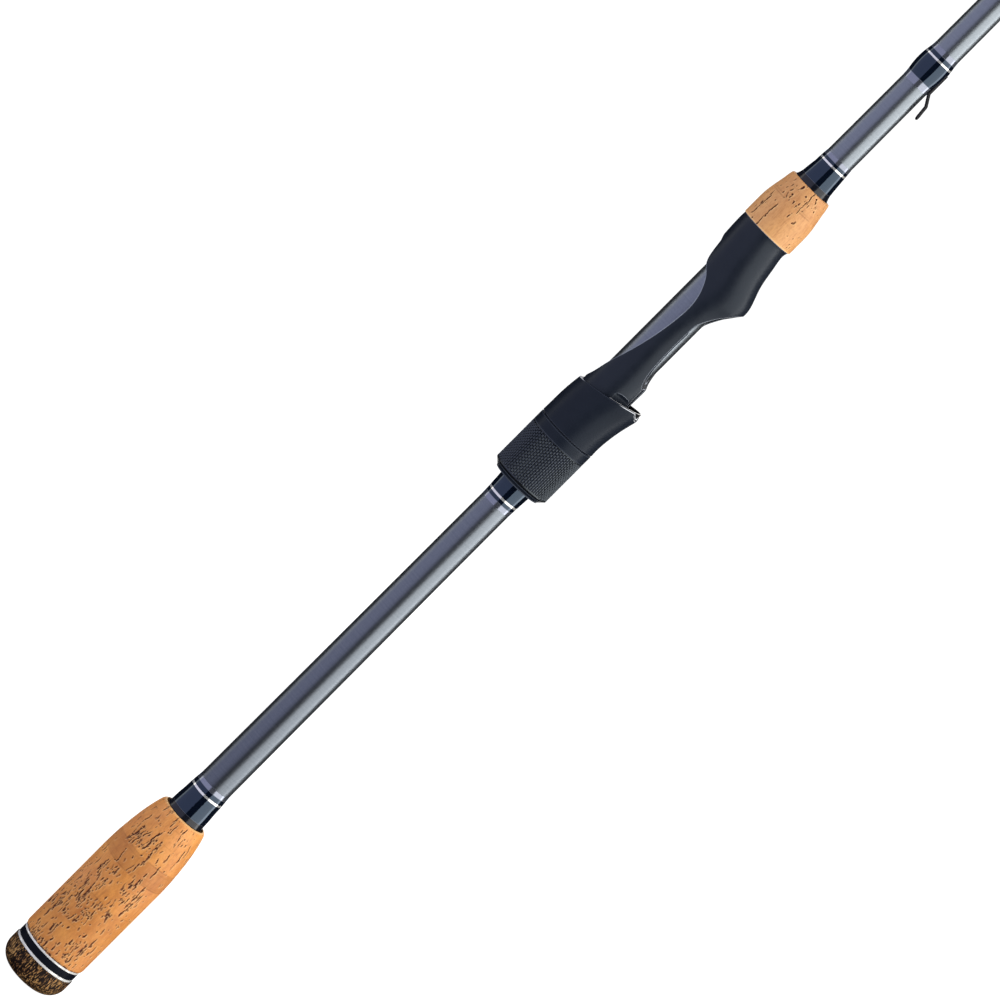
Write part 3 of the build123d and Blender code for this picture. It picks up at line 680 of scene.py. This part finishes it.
def work_cork(skin, cracks, patches):
    """Cut the cracks and the patches of pits that the camera sees."""
    for start, end, across, width in cracks:
        azimuth, height = seen_at(across, start, skin.radius)
        skin.crack(azimuth, height, (end - start) * MM, width=width * MM)
    for low, high, left, right, count in patches:
        for _ in range(count):
            across, along_rod = skin.draw.uniform(left, right), skin.draw.uniform(low, high)
            azimuth, height = seen_at(across, along_rod, skin.radius)
            length = (0.25 + 1.0 * skin.draw.random() ** 2) * MM
            width = skin.draw.uniform(0.12, 0.28) * MM
            skin.add_pit(azimuth, height, length, width, skin.draw.uniform(0.5, 1.0))


def hidden_cracks(skin, cracks):
    """Cut cracks round the sides and back of a grip."""
    for degrees, above, length in cracks:
        skin.crack(facing(degrees), skin.heights[0] + above * MM, length * MM)


def butt_grip():
    """Five cork rings, most pitted near the butt, with a darker thin ring among them."""
    heights, outer, bore = outline_of("butt_grip_cork")
    heights, radii = along(heights, outer, CORK_STEP)
    skin = CorkSkin(heights, radii, seed=11)
    base, top = heights[0], heights[-1]
    seams = [height * MM for height in BUTT_SEAMS_MM]
    for low, high, count, tone in zip([base, *seams], [*seams, top], BUTT_PITS, BUTT_TONES):
        skin.scatter(count, low, high, 1.7 * MM, crowding=0.45)
        skin.ring_tone(low, high, tone)
    for seam, strength in zip(seams, (0.15, 0.2, 0.4, 0.4)):
        skin.seam(seam, strength)
    for height in BUTT_GRAIN_MM:
        skin.seam(height * MM, 0.12)
    work_cork(skin, BUTT_CRACKS_MM, BUTT_PATCHES_MM)
    hidden_cracks(skin, BUTT_HIDDEN_CRACKS_MM)
    # The cork has crumbled along its edge beside the trim ring.
    chips = 60
    for chip in range(chips):
        azimuth = (chip + skin.draw.uniform(-0.3, 0.3)) * TURN / chips
        depth = skin.draw.uniform(0.6, 1.0)
        length = skin.draw.uniform(0.25, 0.65) * MM
        skin.add_pit(azimuth, base + 0.1 * MM, length, 0.75 * MM, depth)
    # Two gouges at the camera's left edge.
    skin.add_pit(facing(-76), base + 12.2 * MM, 1.6 * MM, 0.9 * MM)
    skin.add_pit(facing(-62), base + 13.2 * MM, 1.0 * MM, 0.5 * MM)
    # Painted highlight along the grip's top end.
    skin.painted_end_highlight(top, 0.5 * MM)
    worked = radii[:, None] - PIT_DEPTH * skin.pit
    look = cork_look("cork")
    piece = turned_piece("butt_grip", heights, worked, bore, CORK_COLUMNS, look, skin.marks())
    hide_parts("butt_grip_cork")
    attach(piece, "handle")


def fore_grip():
    """Two cork rings, nearly clean, with three long cracks."""
    heights, outer, bore = outline_of("fore_grip_cork")
    heights, radii = along(heights, outer, CORK_STEP)
    skin = CorkSkin(heights, radii, seed=5)
    base, seam, top = heights[0], FORE_SEAM_MM * MM, heights[-1]
    skin.scatter(30, base, seam, 0.6 * MM)
    skin.scatter(60, seam, top, 0.8 * MM, crowding=0.4)
    for height, strength in ((0, 0.34), (-5.5, 0.12), (0.9, 0.2), (5.0, 0.15)):
        skin.seam(seam + height * MM, strength)
    skin.ring_tone(seam, top, 0.22)
    work_cork(skin, FORE_CRACKS_MM, ())
    hidden_cracks(skin, FORE_HIDDEN_CRACKS_MM)
    for height_seen, across, size in FORE_SPOTS_MM:
        azimuth, height = seen_at(across, height_seen, skin.radius)
        skin.add_pit(azimuth, height, size * MM, 0.8 * size * MM)
    # Painted highlight along the grip's lower end.
    skin.painted_end_highlight(base, 0.5 * MM)
    worked = radii[:, None] - PIT_DEPTH * skin.pit
    look = cork_look("fore_cork", pale=0.8)
    piece = turned_piece("fore_grip", heights, worked, bore, CORK_COLUMNS, look, skin.marks())
    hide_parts("fore_grip_cork")
    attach(piece, "handle")


def knurled_grip():
    """Rubber sleeve of the lock nut, moulded with rows of short studs that run along it."""
    heights, outer, bore = outline_of("nut_grip")
    # Studs round the sleeve, their pitch along it, and how deep the grooves between them are.
    studs, rise, depth = 80, 1.35 * MM, 0.30 * MM
    columns = studs * 8
    heights, radii = along(heights, outer, rise / 8)
    row = np.arange(columns)[None, :] * studs / columns
    up = (heights[:, None] - heights[0]) / rise + 0.5 * (np.floor(row) % 2)
    across = np.abs(row % 1 - 0.5) * 2
    lengthways = np.abs(up % 1 - 0.5) * 2
    groove = np.clip(np.maximum((across - 0.42) / 0.45, (lengthways - 0.72) / 0.28), 0, 1)
    plain_base, plain_top = 1.1 * MM, 0.35 * MM
    rows = np.clip((heights - heights[0] - plain_base) / (0.3 * MM), 0, 1)
    rows *= np.clip((heights[-1] - plain_top - heights) / (0.2 * MM), 0, 1)
    worked = radii[:, None] - depth * groove * rows[:, None]
    # Mask of the studs' tops, where the rubber is painted paler as a highlight.
    lit_tops = {"top": (1 - groove) ** 2 * rows[:, None]}
    look = rubber_look("nut_rubber")
    piece = turned_piece("knurled_grip", heights, worked, bore, columns, look, lit_tops)
    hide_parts("nut_grip")
    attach(piece, "nut")


# ---- finishes for the CAD nodes that stay ------------------------------------------------------
HOOD_RIM_BASE = 0.281  # above this height the hood's mouth gets a near-white highlight painted along its edges


def give(looks):
    """Assign a material to each CAD node."""
    for node, material in looks.items():
        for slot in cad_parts[node].material_slots:
            slot.material = material


def dress_nodes():
    """Choose each CAD node's material, most of them by the end of its name."""
    names = list(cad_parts)
    blank, silver = blank_look("graphite_blank"), silver_thread_look("silver_thread")
    gloss = gloss_black_look("check_black")
    rings, metal = ceramic_look("guide_ceramic"), frame_look("guide_frame")
    looks = {node: blank for node in ("blank_butt", "blank_tip", "seat_core_sleeve")}
    looks |= {node: silver for node in names if node.endswith("_wrap_trim")}
    looks |= {node: gloss for node in names if node.endswith("winding_check")}
    # The last colour given to each moulding is painted along its edges as a highlight.
    looks["seat_body"] = seat_look("seat_plastic", 0.32, (0.34, 0.37, 0.43))
    looks["moving_hood"] = seat_look("hood_plastic", 0.16, (0.03, 0.035, 0.05), HOOD_RIM_BASE)
    looks["lock_nut"] = seat_look("nut_plastic", 0.16, (0.06, 0.07, 0.09))
    looks |= {node: rings for node in names if node.endswith("_ring")}
    looks |= {node: metal for node in names if node.endswith("_frame")}
    polished = polished_ring_look("silver_ring")
    looks |= {f"butt_trim_ring_{end}": polished for end in ("rear", "front")}
    looks["butt_trim_band"] = black_trim_look("gloss_black")
    looks["butt_cap"] = burl_cork_look("burl_cork")
    looks["seat_arbors"] = foam_look("arbor_foam")
    looks["hood_liner"] = steel_look("liner_steel")
    looks["hook_keeper"] = wire_look("black_wire")
    looks["butt_wrap"] = wrap_look("butt_wrap", (82.6, 93.9))
    looks["rear_wrap"] = wrap_look("rear_wrap", (235.4, 250.0))
    looks["fore_wrap"] = wrap_look("fore_wrap", (387.5, 397.0))
    looks["keeper_wrap"] = wrap_look("keeper_wrap", (436.6, 447.2))
    whole = wrap_look("thread_wrap", (0, 3000))
    for node in names:
        if node.endswith("_wrap") and node not in looks:
            looks[node] = whole
    give(looks)


add_camera()
add_lights()
add_surroundings()
add_floor()
dress_nodes()
butt_grip()
fore_grip()
knurled_grip()
